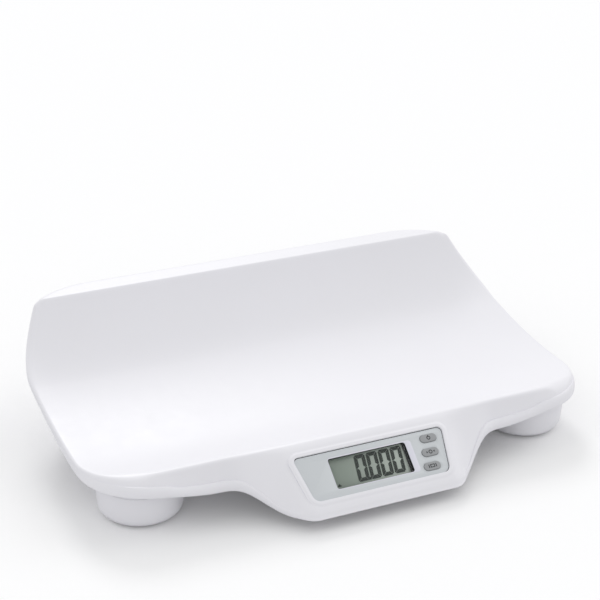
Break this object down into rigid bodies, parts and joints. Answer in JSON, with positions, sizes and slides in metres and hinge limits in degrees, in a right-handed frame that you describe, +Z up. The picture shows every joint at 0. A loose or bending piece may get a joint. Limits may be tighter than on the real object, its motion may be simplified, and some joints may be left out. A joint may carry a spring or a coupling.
{
  "type": "electronic baby scale",
  "caption": "Tabletop electronic baby scale with a valley-shaped weighing tray, round load-cell feet and a tilted display pod with push buttons.",
  "frame": {"origin": "on the table, under the middle of the scale's bounding box", "axes": "+X along the tray's length to the right as seen from the display, +Y to the raised rear wall, +Z up"},
  "size_m": [0.55, 0.368, 0.129],
  "materials": {
    "white_plastic": "satin, fine grain",
    "grey_plastic": "satin",
    "button_plastic": "satin",
    "rubber": "matte",
    "steel": "bright",
    "lens": "clear, polished",
    "lcd_glass": "polished",
    "dark_plastic": "matte",
    "circuit_board": "satin",
    "lead_jacket": "satin",
    "battery_can": "printed sleeve"
  },
  "bodies": {
    "scale_body": {"tray_shell": "white_plastic", "base_cover": "white_plastic", "display_back_cover": "white_plastic", "foot_cup_front_left": "white_plastic", "foot_cup_front_right": "white_plastic", "foot_cup_rear_left": "white_plastic", "foot_cup_rear_right": "white_plastic", "face_plate": "grey_plastic", "load_cell_front_left": "steel", "load_cell_front_right": "steel", "load_cell_rear_left": "steel", "load_cell_rear_right": "steel", "foot_screw_front_left_a": "steel", "foot_screw_front_left_b": "steel", "foot_screw_front_right_a": "steel", "foot_screw_front_right_b": "steel", "foot_screw_rear_left_a": "steel", "foot_screw_rear_left_b": "steel", "foot_screw_rear_right_a": "steel", "foot_screw_rear_right_b": "steel", "base_screw_front_left": "steel", "base_screw_front_right": "steel", "base_screw_mid_left": "steel", "base_screw_mid_right": "steel", "base_screw_rear_left": "steel", "base_screw_rear_right": "steel", "display_screw_left": "steel", "display_screw_right": "steel", "battery_contact_front_1": "steel", "battery_contact_front_2": "steel", "battery_contact_front_3": "steel", "battery_contact_rear_1": "steel", "battery_contact_rear_2": "steel", "display_lens": "lens", "lcd_panel": "lcd_glass", "lcd_frame": "dark_plastic", "tact_switch_1": "dark_plastic", "tact_switch_2": "dark_plastic", "tact_switch_3": "dark_plastic", "display_board": "circuit_board", "load_cell_lead_front_left": "lead_jacket", "load_cell_lead_front_right": "lead_jacket", "load_cell_lead_rear_left": "lead_jacket", "load_cell_lead_rear_right": "lead_jacket", "battery_lead": "lead_jacket", "battery_1": "battery_can", "battery_2": "battery_can", "battery_3": "battery_can", "battery_4": "battery_can"},
    "button_1": {"button_1": "button_plastic"},
    "button_2": {"button_2": "button_plastic"},
    "button_3": {"button_3": "button_plastic"},
    "battery_door": {"battery_door": "white_plastic"},
    "foot_pad_front_left": {"foot_pad_front_left": "rubber"},
    "foot_pad_front_right": {"foot_pad_front_right": "rubber"},
    "foot_pad_rear_left": {"foot_pad_rear_left": "rubber"},
    "foot_pad_rear_right": {"foot_pad_rear_right": "rubber"}
  },
  "joints": [
    {"name": "button_1_press", "type": "slide", "parent": "scale_body", "child": "button_1", "axis": [0, 0.6146, -0.7888], "range_m": [0, 0.0008], "stiffness_N_per_m": 1500},
    {"name": "button_2_press", "type": "slide", "parent": "scale_body", "child": "button_2", "axis": [0, 0.6146, -0.7888], "range_m": [0, 0.0008], "stiffness_N_per_m": 1500},
    {"name": "button_3_press", "type": "slide", "parent": "scale_body", "child": "button_3", "axis": [0, 0.6146, -0.7888], "range_m": [0, 0.0008], "stiffness_N_per_m": 1500},
    {"name": "foot_pad_front_left_lift", "type": "slide", "parent": "scale_body", "child": "foot_pad_front_left", "axis": [0, 0, 1], "range_m": [0, 0.0008], "stiffness_N_per_m": 15000},
    {"name": "foot_pad_front_right_lift", "type": "slide", "parent": "scale_body", "child": "foot_pad_front_right", "axis": [0, 0, 1], "range_m": [0, 0.0008], "stiffness_N_per_m": 15000},
    {"name": "foot_pad_rear_left_lift", "type": "slide", "parent": "scale_body", "child": "foot_pad_rear_left", "axis": [0, 0, 1], "range_m": [0, 0.0008], "stiffness_N_per_m": 15000},
    {"name": "foot_pad_rear_right_lift", "type": "slide", "parent": "scale_body", "child": "foot_pad_rear_right", "axis": [0, 0, 1], "range_m": [0, 0.0008], "stiffness_N_per_m": 15000},
    {"name": "battery_door_slide", "type": "slide", "parent": "scale_body", "child": "battery_door", "axis": [0, 1, 0], "range_m": [0, 0.045]}
  ]
}
